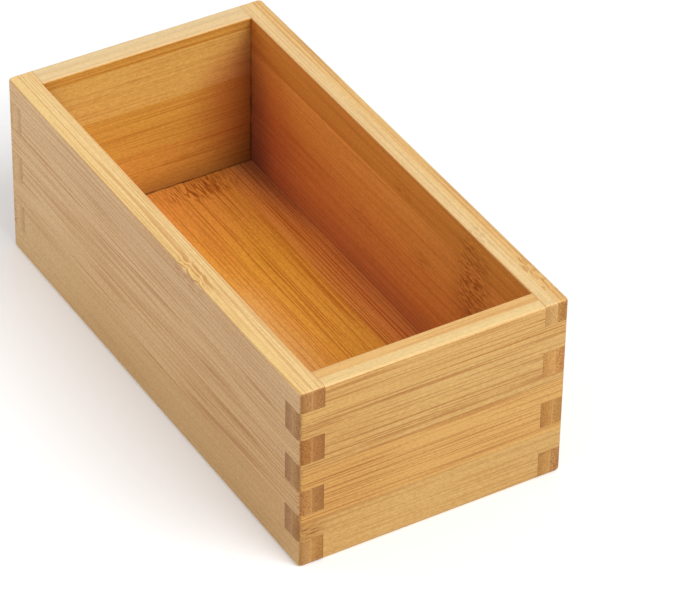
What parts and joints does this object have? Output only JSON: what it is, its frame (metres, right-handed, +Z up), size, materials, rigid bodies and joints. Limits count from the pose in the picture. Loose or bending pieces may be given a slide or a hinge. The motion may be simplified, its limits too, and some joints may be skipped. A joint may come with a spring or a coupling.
{
  "type": "open bamboo storage box",
  "caption": "Long open-topped bamboo box with finger-jointed corners, eased edges and a bottom panel let into a groove, for tea bags or small packets.",
  "frame": {"origin": "centre of the box's footprint, on the surface it stands on", "axes": "+X across the box towards the right wall, +Y along the box towards the back wall, +Z up through the open top"},
  "size_m": [0.0888, 0.1778, 0.0635],
  "materials": {
    "bamboo_outer_ply": "sanded laminated bamboo under a thin satin lacquer",
    "bamboo_inner_ply": "sanded laminated bamboo under a thin satin lacquer",
    "bamboo_panel": "sanded laminated bamboo under a thin satin lacquer"
  },
  "bodies": {
    "root": {"left_wall_outer_ply": "bamboo_outer_ply", "left_wall_inner_ply": "bamboo_inner_ply", "right_wall_outer_ply": "bamboo_outer_ply", "right_wall_inner_ply": "bamboo_inner_ply", "front_wall_outer_ply": "bamboo_outer_ply", "front_wall_inner_ply": "bamboo_inner_ply", "back_wall_outer_ply": "bamboo_outer_ply", "back_wall_inner_ply": "bamboo_inner_ply", "bottom_panel": "bamboo_panel"}
  },
  "joints": []
}
